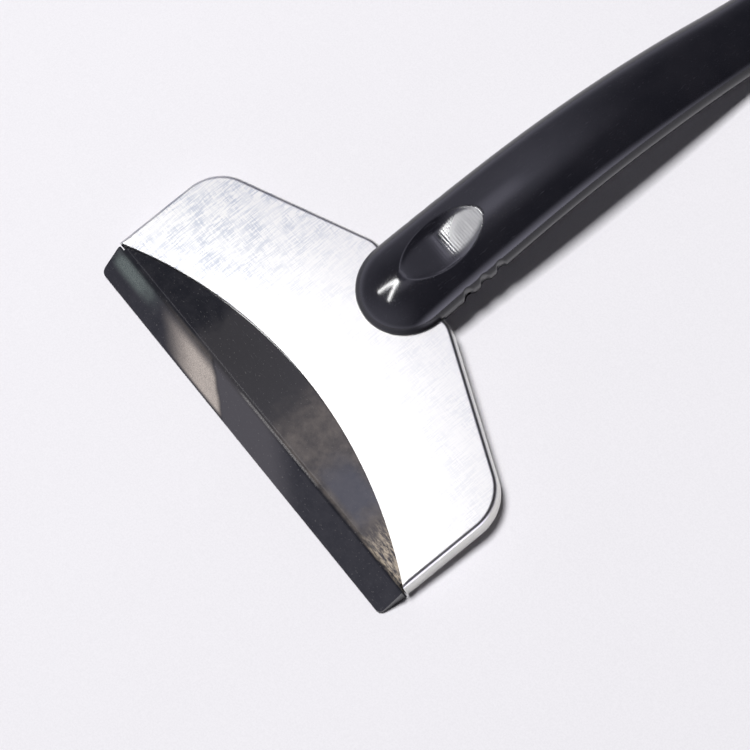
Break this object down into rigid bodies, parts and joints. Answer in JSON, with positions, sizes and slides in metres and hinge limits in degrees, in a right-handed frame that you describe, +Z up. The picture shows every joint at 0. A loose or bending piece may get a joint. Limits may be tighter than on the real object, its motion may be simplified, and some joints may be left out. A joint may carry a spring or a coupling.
{
  "type": "windshield ice scraper",
  "caption": "Hand ice scraper: wide bevelled plastic blade under a pressed steel cover with a concave front edge, on an arched two-shell handle with a thumb hollow.",
  "frame": {"origin": "middle of the footprint at ground level, with the tool lying on the front edge of its blade and the tail of its handle", "axes": "+X along the blade, +Y from the blade towards the tail of the handle, +Z up"},
  "size_m": [0.125, 0.1886, 0.0205],
  "materials": {
    "steel_cover": "satin stainless sheet with fine brushed grain",
    "blade_plastic": "dark charcoal, satin, lightly scuffed",
    "handle_upper_plastic": "glossy charcoal black",
    "handle_lower_plastic": "glossy charcoal black",
    "screw_steel": "zinc plated"
  },
  "bodies": {
    "root": {"head_cover": "steel_cover", "scraper_blade": "blade_plastic", "handle_upper_shell": "handle_upper_plastic", "handle_lower_shell": "handle_lower_plastic", "head_screw_left": "screw_steel", "head_screw_right": "screw_steel", "shell_screw_front": "screw_steel", "shell_screw_middle": "screw_steel", "shell_screw_rear": "screw_steel"}
  },
  "joints": []
}
